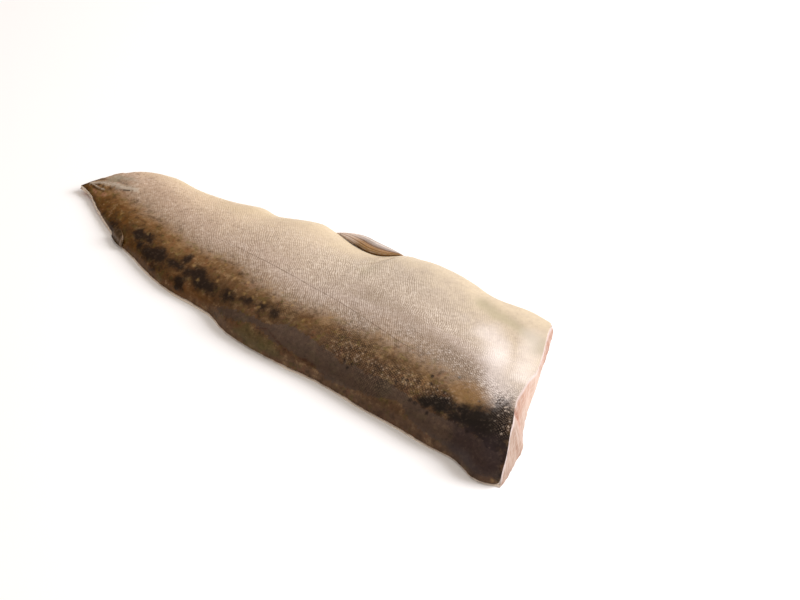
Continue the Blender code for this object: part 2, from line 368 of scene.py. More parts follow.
def area(outline, soft):
    """A layer that is 1 inside an outline and fades to 0 outside it, over this many mm."""
    ring = np.array([on_hide(*mark) for mark in [*outline, outline[0]]])
    inside = np.zeros(len(HIDE), bool)
    for start, end in zip(ring, ring[1:]):
        rise = end[1] - start[1] or 1e-9
        crosses = (HIDE[:, 1] < start[1]) != (HIDE[:, 1] < end[1])
        inside ^= crosses & (HIDE[:, 0] < start[0] + (HIDE[:, 1] - start[1]) * (end[0] - start[0]) / rise)
    away_mm = distance_from([*outline, outline[0]])
    return np.clip(0.5 + np.where(inside, away_mm, -away_mm) / soft, 0, 1)


# %% A soft step, a line through points, and smooth noise
def step(low, high, values):
    """Goes from 0 at low to 1 at high, without a corner."""
    part = np.clip((values - low) / (high - low), 0, 1)
    return part * part * (3 - 2 * part)


def curve(points, values):
    """The height at each value of a line through the points."""
    return np.interp(values, *np.transpose(points))


def rough(places, size, seed):
    """Smooth noise whose lumps are this many mm wide, from -1 to 1."""
    shift = Vector((seed * 7.3, seed * 3.1, seed * 5.7))
    return np.array([noise.noise(Vector(place) / (size * MM) + shift) for place in places])


print("half way up a step:", step(0, 1, 0.5))


# %% The lines of the folds at the tail, by the fin and at the head
places = read(skin.data.vertices, "co", 3)
outward = read(skin.data.vertices, "normal", 3)
SILVER_FOLD = [(5.6, 0.108), (9.6, 0.145), (14.3, 0.189), (20, 0.233), (24, 0.271), (27.8, 0.295),
               (31.7, 0.33), (35.4, 0.363), (40, 0.40)]
PALE_CREASE = [(4.7, 0.088), (9.2, 0.089), (12.4, 0.095), (16.4, 0.115), (19, 0.136)]
FIN_CREASE = [(221, 0.815), (223, 0.874), (224, 0.94)]
# Lines of the folds, their height and their half width, in mm.
FOLDS = [
    (SILVER_FOLD, 0.45, 2.0),
    (PALE_CREASE, 0.35, 0.8),
    ([(9, 0.061), (14, 0.08), (19.5, 0.118)], -0.35, 0.8),
    ([(26, 0.24), (33, 0.308), (37, 0.35)], -0.35, 1.2),
    ([(18.5, 0.32), (24.5, 0.331), (30, 0.362)], -0.3, 2.0),
    ([(12, 0.38), (24, 0.43), (38, 0.50)], 0.5, 2.0),
    ([(14, 0.50), (24, 0.56), (34, 0.63)], -0.4, 1.8),
    (FIN_CREASE, -0.45, 1.1),
    ([(224, 0.925), (223, 0.838), (224, 0.736), (226, 0.646)], -0.5, 3.0),
    ([(301, 0.92), (318, 0.885), (331, 0.86), (343, 0.845), (352, 0.82)], -0.5, 6.0),
]
print(len(FOLDS), "folds")

# %% The skin's relief: the folds, its slack and grain, a whorl by the head and the ragged back edge
# How slack, grainy and ragged the skin is: a height and a width in mm, and a seed.
SLACK, GRAIN, TAIL_GRAIN = (0.22, 16, 1), (0.10, 6, 2), (0.30, 4, 3)
RAGGED_WIDE, RAGGED_FINE = (0.45, 7, 4), (0.25, 3, 5)
RAGGED_REACH = 2.5  # mm from the back's cut edge
slack, grain, tail_grain, ragged_wide, ragged_fine = (
    height * rough(places, width, seed)
    for height, width, seed in (SLACK, GRAIN, TAIL_GRAIN, RAGGED_WIDE, RAGGED_FINE)
)
relief = sum(height * stroke(line, half_width) for line, height, half_width in FOLDS)
relief += slack + grain + tail_grain * step(55, 15, ALONG)

WHORL, WHORL_REACH, WHORL_PITCH, WHORL_HEIGHT = (316, 0.715), 26, 5.2, 0.10
from_whorl = distance_from([WHORL, WHORL])
rings = np.sin(2 * np.pi * from_whorl / WHORL_PITCH) * step(WHORL_REACH, 8, from_whorl)
relief += WHORL_HEIGHT * rings

DEEPEST = -0.7  # mm: no fold may sink into the flesh
relief = np.maximum(relief, DEEPEST)
ragged = step(RAGGED_REACH, 0, GIRTH) * (ragged_wide + ragged_fine)
places += outward * relief[:, None] * MM
places[:, 1] += ragged * MM
move_points(skin, places)
print("relief from", round(relief.min(), 2), "to", round(relief.max(), 2), "mm")

# %% [markdown]
# The colour of a char's side runs in bands along the body: a dark back, a brown band, a silver flank
# and a cream belly. One layer, the tone, says where in those bands a point is. It is made from the
# lines at which the fish passes from one band to the next, because on a real fish they wander: the
# flank is widest in the middle of the body, and the cream comes up over it at both ends.

# %% The lines between the bands, as (mm from the tail's tip, share of the width)
BROWN_ENDS = [(0, 0.10), (20, 0.19), (60, 0.24), (135, 0.24), (175, 0.21), (250, 0.20), (330, 0.20),
              (355, 0.19), (372, 0.235), (400, 0.16)]
TAN_ENDS = [(0, 0.25), (25, 0.33), (55, 0.37), (95, 0.37), (135, 0.33), (180, 0.33), (215, 0.32),
            (255, 0.31), (300, 0.36), (335, 0.36), (355, 0.32), (375, 0.28), (400, 0.2)]
FLANK_ENDS = [(0, 0.5), (60, 0.55), (120, 0.47), (180, 0.45), (235, 0.43), (275, 0.52), (320, 0.53),
              (340, 0.46), (358, 0.37), (375, 0.32), (400, 0.25)]
CREAM_FROM = [(0, 0.8), (50, 0.8), (95, 0.72), (155, 0.71), (200, 0.8), (250, 0.82), (290, 0.75),
              (315, 0.68), (340, 0.58), (360, 0.46), (400, 0.3)]
TONES = (0, 0.25, 0.45, 0.62, 0.85, 1)

lines = [curve(points, ALONG) for points in (BROWN_ENDS, TAN_ENDS, FLANK_ENDS, CREAM_FROM)]
stops = np.stack([np.zeros_like(ALONG), *lines, np.ones_like(ALONG)])
tone = np.zeros_like(SHARE)
for k in range(len(TONES) - 1):
    part = np.clip((SHARE - stops[k]) / (stops[k + 1] - stops[k]), 0, 1)
    tone += (TONES[k + 1] - TONES[k]) * part
store(skin, "tone", tone)

# %% [markdown]
# Over the bands lie the marks that make this fish itself. A row of dark blotches runs down the tail
# half of the back, with a dusky ground between them and small pale spots among them. Towards the head
# the wet slime on the back shows a grey sheen, which is no mark but a painted reflection, below a
# patch that is almost black. They could be painted as an image, but a layer on the mesh stays sharp at
# every size and moves with the skin. Each mark is an outline, a line or a dab with its place and
# softness, and its colour waits for the material.

# %% Dark blotches down the tail half of the back
BLOTCHES = [
    ([(72, 0.094), (73, 0.125), (77, 0.163), (82, 0.147), (84, 0.114), (80, 0.080), (76, 0.071)], 5),
    ([(80, 0.057), (82, 0.083), (86, 0.091), (87, 0.060), (83, 0.042)], 4),
    ([(82, 0.153), (82, 0.183), (86, 0.176), (93, 0.132), (91, 0.106), (86, 0.115)], 5),
    ([(88, 0.060), (89, 0.098), (92, 0.114), (99, 0.132), (104, 0.145), (108, 0.132), (109, 0.091),
      (107, 0.051), (100, 0.030), (93, 0.026)], 6),
    ([(114, 0.108), (119, 0.136), (126, 0.135), (128, 0.102), (123, 0.088), (118, 0.091)], 5),
    ([(122, 0.159), (122, 0.198), (124, 0.230), (127, 0.210), (126, 0.168)], 5),
    ([(130, 0.107), (131, 0.128), (135, 0.151), (140, 0.159), (147, 0.126), (152, 0.110),
      (158, 0.091), (160, 0.066), (155, 0.056), (149, 0.055), (145, 0.048), (138, 0.077),
      (133, 0.088)], 7),
    ([(166, 0.084), (168, 0.116), (175, 0.131), (177, 0.111), (172, 0.078)], 6),
    ([(183, 0.143), (185, 0.165), (189, 0.160), (191, 0.133), (187, 0.121)], 6),
    ([(194, 0.152), (196, 0.176), (201, 0.179), (203, 0.149), (200, 0.124)], 6),
    ([(205, 0.182), (208, 0.200), (212, 0.190), (212, 0.161), (208, 0.155)], 6),
    ([(129, 0.040), (132, 0.059), (136, 0.047), (136, 0.016), (132, 0.015)], 7),
]
print(len(BLOTCHES), "blotches")

# %% Their layer, with faint dabs by the back edge, and the dusky ground between them
blotch = np.maximum.reduce([area(outline, soft) for outline, soft in BLOTCHES])
blotch = np.maximum(blotch, dabs([
    (52, 0.026, 6, 0.5), (58, 0.026, 6, 0.5), (106, 0.031, 6, 0.5), (112, 0.032, 5, 0.4),
]))
store(skin, "blotch", blotch)
store(skin, "halo", stroke([
    (70, 0.11), (90, 0.12), (105, 0.09), (125, 0.14), (140, 0.11), (155, 0.09), (172, 0.10), (188, 0.145),
    (205, 0.17), (218, 0.17),
], 9))

# %% Small pale spots on the back, and small dark flecks towards the head
SPOTS = [
    (50, 0.133), (53, 0.104), (83, 0.169), (102, 0.211), (114, 0.175), (133, 0.165), (142, 0.201),
    (152, 0.248), (143, 0.088), (157, 0.134), (166, 0.207), (171, 0.123), (182, 0.178), (189, 0.190),
    (198, 0.154), (199, 0.193), (215, 0.255), (177, 0.245), (203, 0.318), (200, 0.252), (230, 0.192),
    (243, 0.260), (396.5, 0.004),
]
SPOT_RADIUS = 1.8
store(skin, "spot", dabs([(*mark, SPOT_RADIUS, 1) for mark in SPOTS]))
FLECKS = [
    (327.8, 0.229), (342.8, 0.298), (322.4, 0.169), (311.3, 0.110), (363.6, 0.226), (340.8, 0.064),
    (326.5, 0.075), (330.2, 0.073), (313.3, 0.139), (317.2, 0.149), (330.8, 0.184), (336.2, 0.183),
    (342.0, 0.182), (369.5, 0.070), (272.4, 0.090), (278.0, 0.094), (276.2, 0.063),
]
FLECK_RADIUS = 1.5
store(skin, "fleck", dabs([(*mark, FLECK_RADIUS, 1) for mark in FLECKS]))

# %% Painted reflection: the grey sheen of the wet slime on the head half of the back, and the near-black skin above it
SHEEN_TOP = [(167, 0.028), (181, 0.068), (196, 0.095), (211, 0.098), (224, 0.141), (240, 0.124),
            (257, 0.095), (271, 0.075), (280, 0.089), (294, 0.089), (304, 0.103), (316, 0.089), (327, 0.083),
            (337, 0.073), (349, 0.076), (369, 0.074), (381, 0.095), (389, 0.069), (395, 0.065), (399, 0.038)]
SHEEN_FOOT = [(172, 0.011), (191, 0.044), (203, 0.069), (220, 0.043), (236, 0.031), (257, 0.016),
             (266, 0.009), (288, 0.017), (304, 0.029), (319, 0.05), (333, 0.018), (356, 0.011),
             (375, 0.006), (398, 0.008)]
store(skin, "film", area(SHEEN_TOP + SHEEN_FOOT[::-1], 5))
BLACK_TOP = [(331, 0.092), (334, 0.147), (346, 0.177), (353, 0.151), (361, 0.181), (371, 0.237),
             (370, 0.314), (377, 0.324), (384, 0.274), (392, 0.20), (399, 0.10), (401, 0.03)]
BLACK_FOOT = [(336, 0.071), (349, 0.073), (369, 0.072), (384, 0.062), (388, 0.055), (395, 0.03), (400, 0)]
store(skin, "black", area(BLACK_TOP + BLACK_FOOT[::-1], 9))

# %% Patches of olive, orange and tan
store(skin, "olive", np.maximum.reduce([
    area([(188, 0.009), (197, 0.055), (210, 0.053), (220, 0.039), (229, 0.021), (233, 0.005), (206, 0)], 7),
    1.3 * area([(299, 0.052), (303, 0.104), (309, 0.102), (312, 0.064), (308, 0.031)], 5),
    0.6 * area([(354, 0.017), (362, 0.023), (366, 0.011), (359, 0.001)], 5),
    dabs([(241, 0.055, 7, 0.5), (270, 0.03, 7, 0.5)]),
]))
store(skin, "orange", np.maximum(
    area([(133, 0.052), (144, 0.043), (163, 0.039), (162, 0.005), (145, 0.001), (129, 0.001)], 6),
    dabs([(126, 0.071, 4, 0.8), (63, 0.093, 7, 0.6), (37, 0.147, 7, 0.7), (22, 0.09, 5, 0.6),
          (253, 0.2, 8, 0.7), (232, 0.205, 8, 0.7), (275, 0.176, 7, 0.5), (111, 0.024, 4, 0.6)]),
))
store(skin, "tan", np.maximum(
    area([(341, 0.21), (345, 0.292), (360, 0.314), (371, 0.285), (368, 0.207), (358, 0.168),
          (350, 0.172)], 7),
    dabs([(15, 0.12, 9, 0.6), (326, 0.189, 8, 0.7), (311, 0.229, 8, 0.5), (279, 0.267, 8, 0.6),
          (244, 0.251, 8, 0.6), (107, 0.221, 8, 0.6), (121, 0.224, 7, 0.5)]),
))

# %% Rust, umber and dusk low on the back, and painted shade in the hollows and down the mid flank
store(skin, "rust", np.maximum(
    0.8 * stroke([(207, 0.062), (213, 0.073), (225, 0.043), (228, 0.041), (240, 0.018)], 0.9),
    stroke([(242, 0.018), (249, 0.022), (256, 0.016)], 1.8),
))
store(skin, "umber", np.maximum(
    area([(290, 0), (304, 0.027), (319, 0.047), (333, 0.018), (345, 0.017), (356, 0.011), (360, 0.001)], 6),
    dabs([(244, 0.063, 7, 0.6), (396, 0.027, 4, 0.5)]),
))
store(skin, "dusk", area([(357, 0.001), (360, 0.07), (369, 0.094), (385, 0.12), (402, 0.10), (402, 0.0)], 14))
# Painted shade: a grey band down the middle of the flank, and the crease by the pelvic fin.
store(skin, "shade", np.maximum(
    stroke([(245, 0.53), (276, 0.512), (302, 0.466), (326, 0.388), (343, 0.365)], 13),
    0.9 * stroke(FIN_CREASE, 1.3),
))
# Painted shade: the olive-grey darkening in the valley between the loin and the belly flap, and by the fin.
store(skin, "valley", np.maximum(
    stroke([(301, 0.915), (318, 0.88), (331, 0.855), (343, 0.842), (351, 0.825), (357, 0.79)], 6.5),
    dabs([(296, 0.851, 9, 0.3), (226, 0.77, 7, 0.5), (224, 0.736, 8, 0.5), (218, 0.862, 6, 0.3)]),
))

# %% The colours of the folds at the tail, with painted shade in their creases
store(skin, "silver_fold", np.maximum.reduce([
    0.85 * stroke(SILVER_FOLD, 2.4),
    0.8 * stroke(PALE_CREASE, 0.7),
    0.45 * stroke([(13, 0.35), (22, 0.40), (34, 0.47)], 1.8),
]))
# Painted shade in the creases under the folds at the tail, with a few small dark spots.
store(skin, "dark_fold", np.maximum.reduce([
    0.75 * stroke([(31.5, 0.295), (36, 0.342)], 0.8),
    0.6 * stroke([(9, 0.061), (14, 0.08), (19.5, 0.118)], 0.8),
    0.9 * stroke([(0, 0.0), (0.5, 0.012), (2, 0.05)], 1.6),
    0.8 * stroke([(1, 0.06), (4, 0.13), (6, 0.19), (9.3, 0.255)], 1.0),
    0.5 * stroke([(18.5, 0.325), (24.5, 0.331), (29.3, 0.362)], 2.2),
    0.42 * stroke([(22.5, 0.215), (28, 0.257)], 2.2),
    dabs([(12.3, 0.127, 1.3, 0.9), (16.3, 0.142, 1.6, 0.9), (18.6, 0.15, 1.2, 0.7)]),
]))
store(skin, "pink_fold", dabs([
    (12.3, 0.051, 1.8, 0.8), (15, 0.057, 1.6, 0.8), (21.5, 0.108, 2.0, 0.9), (23.6, 0.12, 1.8, 0.8),
    (22.5, 0.294, 2.0, 0.8), (18, 0.25, 1.6, 0.7), (15.3, 0.293, 1.6, 0.6), (29, 0.42, 3.0, 0.5),
]))
# A pale line on the skin by the tail's cut edge: the edge's own pale gristle, painted lighter as painted
# light where the edge turns up to the light.
store(skin, "pale_rim", step(1.1, 0.5, GIRTH) * step(64, 50, ALONG))
store(skin, "grey_fold", area([(8.3, 0.191), (12, 0.323), (16.7, 0.414), (26, 0.47), (30, 0.44), (21, 0.36),
                               (18.8, 0.27), (13, 0.191)], 6))

# %% Where the scales show: strokes on the flank, a net higher up, painted glints at the head; a painted highlight
store(skin, "netted", np.maximum.reduce([
    dabs([(262, 0.2, 12, 1), (277, 0.182, 13, 1), (298, 0.1, 12, 1), (254, 0.208, 10, 0.6),
          (306, 0.16, 11, 0.8), (322, 0.153, 9, 0.8), (216, 0.229, 12, 0.5)]),
    0.8 * stroke([(256, 0.129), (281, 0.11), (300, 0.144), (324, 0.107), (334, 0.154)], 6),
]))
# The pale scale centres and pale cells of this layer are painted glints, light caught by single scales; its
# dark parts are the scales' own pattern.
store(skin, "glitter", np.maximum.reduce([
    stroke([(324, 0.403), (338, 0.368), (351, 0.349), (366, 0.312), (374, 0.321)], 11),
    0.7 * stroke([(291, 0.404), (310, 0.35), (325, 0.372)], 9),
    0.6 * dabs([(260, 0.33, 12, 1), (247, 0.328, 9, 0.7)]),
]))
store(skin, "speckle", np.maximum.reduce([
    stroke([(374, 0.295), (379, 0.266), (383, 0.235), (387, 0.185), (391, 0.16)], 5),
    0.35 * stroke([(264, 0.131), (286, 0.129), (311, 0.14), (330, 0.17), (346, 0.178)], 6),
]))
# A painted highlight: the broad pale glare of the light on the wet silver skin by the head, over the skin's
# own pale silver.
store(skin, "white", np.maximum.reduce([
    stroke([(322, 0.745), (334, 0.70), (345, 0.58), (351, 0.481), (363, 0.375), (370, 0.343)], 14),
    0.45 * stroke([(304, 0.745), (317, 0.781), (336, 0.705)], 9),
    0.8 * stroke([(344, 0.84), (352, 0.74), (362, 0.60), (371, 0.48)], 12),
]))

# %% [markdown]
# So far the hide is a surface without a thickness. A real one is cut with a knife, and its edge shows
# as a pale line all round. It could be a second shell, but a wall that a modifier grows inwards keeps
# the outside where it is, and puts the cut edge in a material slot of its own.

# %% The skin's own thickness, with its cut edge in a second material
SKIN_THICKNESS = 0.8 * MM
SOFT_UP_TO = math.radians(50)  # a sharper turn than this stays an edge
finish_with(skin, "SOLIDIFY", thickness=SKIN_THICKNESS, offset=-1, use_rim=True, material_offset_rim=1)
pick(skin)
bpy.ops.object.shade_smooth_by_angle(angle=SOFT_UP_TO)
print("the skin has", sum(len(f.vertices) - 2 for f in skin.data.polygons), "triangles")

# %% [markdown]
# Fresh fish skin is a thin layer of clear slime over scales, and the scales lie over pigment. What
# the eye sees is a soft sheen and a grain, not a mirror, so the skin is a plain dielectric with a
# broken, wet coat. The pigment is one colour ramp that the tone layer reads, and the painted layers
# are mixed over it. The scales of a char stand in rows about 1.1 mm apart: on the flank they read as
# fine strokes across the body, and higher up as a net.

# %% Char skin: its noises, from broad stains down to single scales
MULTIPLY, RGBA = {"operation": "MULTIPLY"}, {"data_type": "RGBA"}
SMOOTH = {"interpolation_type": "SMOOTHSTEP"}

# Scaled hide under clear slime: the eye gets a soft, broken shine over pigment, never a mirror.
char_skin, tree = new_material("raw char skin, scaled and wet")
body = add(tree, "TexCoord").outputs["Object"]
hide = add(tree, "UVMap", {"uv_map": "hide"})
# A noise of scale 1 has lumps about half a metre wide, so 0.5 / size gives lumps of that size.
broad = add(tree, "TexNoise", Vector=body, Scale=0.5 / (14 * MM), Detail=3, Roughness=0.5)
middling = add(tree, "TexNoise", Vector=body, Scale=0.5 / (4 * MM), Detail=4, Roughness=0.65)
fine = add(tree, "TexNoise", Vector=body, Scale=0.5 / (1.1 * MM), Detail=2, Roughness=0.6)
print("noises:", len([node for node in tree.nodes if node.type == "TEX_NOISE"]))

# %% Char skin: its rows of scales, and the net that single scales make
SCALE_PITCH = 1.35 * MM  # a little coarser than the real 1.1 mm, so that single rows show
STROKE_LENGTH = 4.5 * MM
ROWS_SLANT = math.radians(36.65)  # the rows run down towards the belly and the tail

WAVER_SIZE, WAVER_REACH = 11 * MM, 8 * MM
waver = add(tree, "TexNoise", Vector=body, Scale=0.5 / WAVER_SIZE, Detail=2)
bent = add(tree, "VectorMath", {"operation": "MULTIPLY_ADD"}, in0=waver.outputs["Color"],
           in1=(WAVER_REACH, WAVER_REACH, 0), in2=hide)
rows = add(tree, "Mapping", {"vector_type": "TEXTURE"}, Vector=bent, Rotation=(0, 0, ROWS_SLANT),
           Scale=(SCALE_PITCH, STROKE_LENGTH, 1))
row_gap = add(tree, "TexVoronoi", {"feature": "DISTANCE_TO_EDGE", "voronoi_dimensions": "2D"},
              Vector=rows, Scale=1, Randomness=0.7)
row_cell = add(tree, "TexVoronoi", {"voronoi_dimensions": "2D"}, Vector=rows, Scale=1, Randomness=0.7)
lattice = add(tree, "Mapping", {"vector_type": "TEXTURE"}, Vector=bent,
              Rotation=(0, 0, math.radians(45) + ROWS_SLANT / 2), Scale=(SCALE_PITCH, SCALE_PITCH, 1))
scale_cell = add(tree, "TexVoronoi", {"voronoi_dimensions": "2D"}, Vector=lattice, Scale=1,
                 Randomness=0.3)
row_light = add(tree, "SeparateColor", in0=row_cell.outputs["Color"])
scale_light = add(tree, "SeparateColor", in0=scale_cell.outputs["Color"])
print("scales every", SCALE_PITCH / MM, "mm")

# %% Char skin: the bands, shaken by noise
tone_plain = add(tree, "Attribute", {"attribute_name": "tone"})
along_body = add(tree, "Attribute", {"attribute_name": "along"})
tone_here = tone_plain
for noise_node, reach in ((middling, 0.20), (broad, 0.16), (fine, 0.08)):
    shaken = add(tree, "Math", {"operation": "MULTIPLY_ADD"}, in0=noise_node, in1=reach, in2=tone_here)
    tone_here = add(tree, "Math", {"operation": "SUBTRACT"}, in0=shaken, in1=reach / 2)
at_tail = add(tree, "ValToRGB", {"stops": [
    (0.0, "#5b3a0c"), (0.14, "#634014"), (0.26, "#7c5b38"), (0.42, "#977f69"), (0.62, "#b39a84"),
    (0.82, "#d0b89c"), (1.0, "#cfba96"),
]}, in0=tone_here)
at_head = add(tree, "ValToRGB", {"stops": [
    (0.0, "#664c36"), (0.14, "#5b422c"), (0.27, "#62492e"), (0.42, "#8f7862"), (0.60, "#aa998c"),
    (0.70, "#a69685"), (0.84, "#b7a896"), (1.0, "#cdbda3"),
]}, in0=tone_here)
to_head = add(tree, "MapRange", in0=along_body, in1=70, in2=240)
colour = add(tree, "Mix", RGBA, in0=to_head, in6=at_tail, in7=at_head)
for ramp in (at_tail, at_head):
    print("band colours:", len(ramp.color_ramp.elements))

# %% Char skin: the scales of the flank, in rows that waver like the lines of a fingertip
ONE_ROW = 2 * math.pi / 20  # a wave texture of this scale has one band for each unit
low_side = add(tree, "MapRange", SMOOTH, in0=tone_plain, in1=0.30, in2=0.5)
high_side = add(tree, "MapRange", SMOOTH, in0=tone_plain, in1=1.0, in2=0.80)
flank = add(tree, "Math", MULTIPLY, in0=low_side, in1=high_side)
off_tail = add(tree, "MapRange", in0=along_body, in1=20, in2=190, in3=0.2, in4=1.0)
patchy = add(tree, "MapRange", in0=broad, in1=0.38, in2=0.58, in3=0.6, in4=1.0)
for part in (off_tail, patchy):
    flank = add(tree, "Math", MULTIPLY, in0=flank, in1=part)
row_wave = add(tree, "TexWave", {"wave_type": "BANDS", "bands_direction": "X"}, Vector=rows,
               Scale=ONE_ROW, Distortion=2.2, Detail=2, Detail_Scale=1.2, Detail_Roughness=0.6)
# The pale cells read from row_light are painted glints, single scales catching the light.
for source, low, high, strength, code in (
    (row_wave, 0.45, 0.0, 0.40, "#645241"), (row_wave, 0.6, 1.0, 0.26, "#eee4d8"),
    (row_gap, 0.16, 0.02, 0.26, "#645241"), (row_light.outputs[0], 0.6, 1.0, 0.14, "#efe4d8"),
    (row_light.outputs[1], 0.40, 0.0, 0.20, "#7d6a58"),
):
    shows = add(tree, "MapRange", in0=source, in1=low, in2=high, in4=strength)
    cover = add(tree, "Math", MULTIPLY, in0=shows, in1=flank)
    colour = add(tree, "Mix", RGBA, in0=cover, in6=colour, in7=code)
print("nodes up to the rows:", len(tree.nodes))

# %% Char skin: a fine grain, where single scales catch the light or don't; the belly is smoother
off_belly = add(tree, "MapRange", in0=tone_plain, in1=1.0, in2=0.74, in3=0.15, in4=1.0)
grainy = add(tree, "Math", MULTIPLY, in0=low_side, in1=off_belly)
for low, high, strength, code in ((0.45, 0.30, 0.34, "#5f4c3a"), (0.55, 0.70, 0.26, "#e9dccb")):
    shows = add(tree, "MapRange", in0=fine, in1=low, in2=high, in4=strength)
    cover = add(tree, "Math", MULTIPLY, in0=shows, in1=grainy)
    colour = add(tree, "Mix", RGBA, in0=cover, in6=colour, in7=code)

# %% Char skin: mottles on the back, where cells of one pigment crowd together
motley = add(tree, "TexNoise", Vector=body, Scale=0.5 / (3 * MM), Detail=4, Roughness=0.7)
motley = add(tree, "SeparateColor", in0=motley.outputs["Color"])
on_back = add(tree, "MapRange", SMOOTH, in0=tone_plain, in1=0.56, in2=0.30)
MOTTLES = [
    # which of three noises, where it starts and is full, strength, colour
    (0, 0.47, 0.36, 0.6, "#2f1e0c"), (0, 0.54, 0.64, 0.45, "#a0835f"), (1, 0.54, 0.64, 0.5, "#5c5222"),
    (2, 0.56, 0.66, 0.22, "#7d4228"), (2, 0.46, 0.36, 0.4, "#4a3416"),
]
print(len(MOTTLES), "mottles")
for channel, low, high, strength, code in MOTTLES:
    shows = add(tree, "MapRange", in0=motley.outputs[channel], in1=low, in2=high, in4=strength)
    cover = add(tree, "Math", MULTIPLY, in0=shows, in1=on_back)
    colour = add(tree, "Mix", RGBA, in0=cover, in6=colour, in7=code)

# %% Char skin: the painted layers, each frayed by noise
PATCHES = [
    # its name, the noise that frays it and how far, where it starts and is full, strength, colour
    ("grey_fold", middling, 2.0, 0.2, 1.0, 0.7, "#8a816c"),
    ("orange", middling, 2.2, 0.2, 1.1, 0.45, "#6c441c"),
    ("tan", middling, 2.2, 0.1, 1.1, 0.7, "#84643e"),
    ("umber", middling, 1.6, 0.2, 1.0, 0.35, "#432b1a"),
    ("halo", middling, 1.8, 0.1, 1.1, 0.5, "#37240f"),
    ("blotch", middling, 2.4, -0.1, 0.85, 0.93, "#1a0c03"),
    ("olive", middling, 1.8, 0.15, 1.1, 0.55, "#58512f"),
    ("black", middling, 1.9, 0.10, 0.90, 0.97, "#0d0603"),
    # Next: a painted reflection, the grey sheen of the wet slime on the dark back of the head half.
    ("film", fine, 1.4, 0.35, 0.65, 0.75, "#4a3c34"),
    ("dusk", middling, 1.2, 0.1, 1.0, 0.68, "#322526"),
    ("rust", fine, 1.6, 0.3, 0.9, 0.65, "#3c1b08"),
    ("shade", middling, 1.0, 0.1, 1.2, 0.45, "#7f6d5a"),
    # Next: painted shade in the valley of the belly flap.
    ("valley", middling, 0.8, 0.05, 1.1, 0.6, "#a39a7e"),
    ("pink_fold", fine, 1.0, 0.2, 1.0, 0.5, "#ac7860"),
    ("silver_fold", fine, 1.3, 0.1, 1.0, 0.8, "#b3a797"),
    # Next: painted shade in the creases of the tail's folds, with a few dark spots.
    ("dark_fold", fine, 1.0, 0.2, 0.9, 0.85, "#30200f"),
    ("spot", fine, 1.2, 0.25, 1.25, 0.46, "#a3824f"),
    ("fleck", fine, 1.6, 0.2, 0.8, 0.85, "#1a0f08"),
    # Next: the tail's pale cut edge, partly its own colour and partly painted light.
    ("pale_rim", fine, 0.8, 0.1, 0.9, 0.9, "#efe0ce"),
    # Next: a painted highlight, the light's glare on the wet silver skin by the head.
    ("white", broad, 0.8, 0.1, 1.2, 0.45, "#f3ebe9"),
]
print(len(PATCHES), "patches")
EDGE_HELD = 8  # keeps a frayed edge within the layer's own faint surroundings
for name, noise_node, reach, low, high, strength, code in PATCHES:
    layer = add(tree, "Attribute", {"attribute_name": name})
    near = add(tree, "Math", {"operation": "MULTIPLY", "use_clamp": True}, in0=layer, in1=EDGE_HELD)
    frayed = add(tree, "Math", {"operation": "MULTIPLY_ADD"}, in0=noise_node, in1=reach, in2=layer)
    cover = add(tree, "MapRange", SMOOTH, in0=frayed,
                in1=low + reach / 2, in2=high + reach / 2, in4=strength)
    cover = add(tree, "Math", MULTIPLY, in0=cover, in1=near)
    colour = add(tree, "Mix", RGBA, in0=cover, in6=colour, in7=code)

# %% Char skin: a finer grain over the patches, which are never quite even
# Dark specks first, then a few pale ones.
for low, high, strength, code in ((0.46, 0.32, 0.28, "#170e08"), (0.56, 0.70, 0.09, "#8d7a68")):
    shows = add(tree, "MapRange", in0=fine, in1=low, in2=high, in4=strength)
    cover = add(tree, "Math", MULTIPLY, in0=shows, in1=on_back)
    colour = add(tree, "Mix", RGBA, in0=cover, in6=colour, in7=code)

# %% Char skin: the scales where they show as a net, with painted glints, or as speckle
SCALES = [
    # the layer, what is read of each scale, its low and high, strength, colour
    ("netted", "Distance", 0.28, 0.60, 0.75, "#22160c"), ("netted", "Distance", 0.30, 0.08, 0.34, "#8d7350"),
    ("netted", "Light", 0.80, 1.0, 0.12, "#b39a7c"), ("netted", "Light", 0.30, 0.0, 0.5, "#1a100a"),
    # The pale entries for the glinting scales are painted glints on single scales.
    ("glitter", "Distance", 0.25, 0.60, 0.62, "#67594c"),
    ("glitter", "Distance", 0.34, 0.05, 0.32, "#f3e9e1"),
    ("glitter", "Light", 0.25, 0.0, 0.45, "#5c4c3d"), ("glitter", "Light", 0.75, 1.0, 0.24, "#f6ede6"),
    ("speckle", "Light", 0.50, 0.25, 0.85, "#150c07"), ("speckle", "Distance", 0.26, 0.05, 0.6, "#a58e79"),
    ("speckle", "Light", 0.84, 0.97, 0.45, "#cbb8a6"),
]
print(len(SCALES), "ways in which scales show")
for name, reads, low, high, strength, code in SCALES:
    source = scale_cell.outputs["Distance"] if reads == "Distance" else scale_light.outputs[0]
    shows = add(tree, "MapRange", in0=source, in1=low, in2=high, in4=strength)
    layer = add(tree, "Attribute", {"attribute_name": name})
    cover = add(tree, "Math", MULTIPLY, in0=shows, in1=layer)
    colour = add(tree, "Mix", RGBA, in0=cover, in6=colour, in7=code)

# %% Char skin: the lateral line, a thin dark thread that fades out towards the head
LINE_HALF_WIDTH = 0.4 * MM
from_line = add(tree, "Math", {"operation": "ABSOLUTE"},
                in0=add(tree, "SeparateXYZ", in0=hide).outputs[1])
thread = add(tree, "MapRange", SMOOTH, in0=from_line,
             in1=1.6 * LINE_HALF_WIDTH, in2=0.3 * LINE_HALF_WIDTH)
starts = add(tree, "MapRange", in0=along_body, in1=80, in2=190)
ends = add(tree, "MapRange", in0=along_body, in1=345, in2=290)
for part in (starts, ends):
    thread = add(tree, "Math", MULTIPLY, in0=thread, in1=part)
broken = add(tree, "MapRange", in0=middling, in1=0.32, in2=0.58, in3=0.1, in4=0.7)
cover = add(tree, "Math", MULTIPLY, in0=thread, in1=broken)
colour = add(tree, "Mix", RGBA, in0=cover, in6=colour, in7="#5d4939")
print("the lateral line is", round(2 * LINE_HALF_WIDTH / MM, 1), "mm wide")

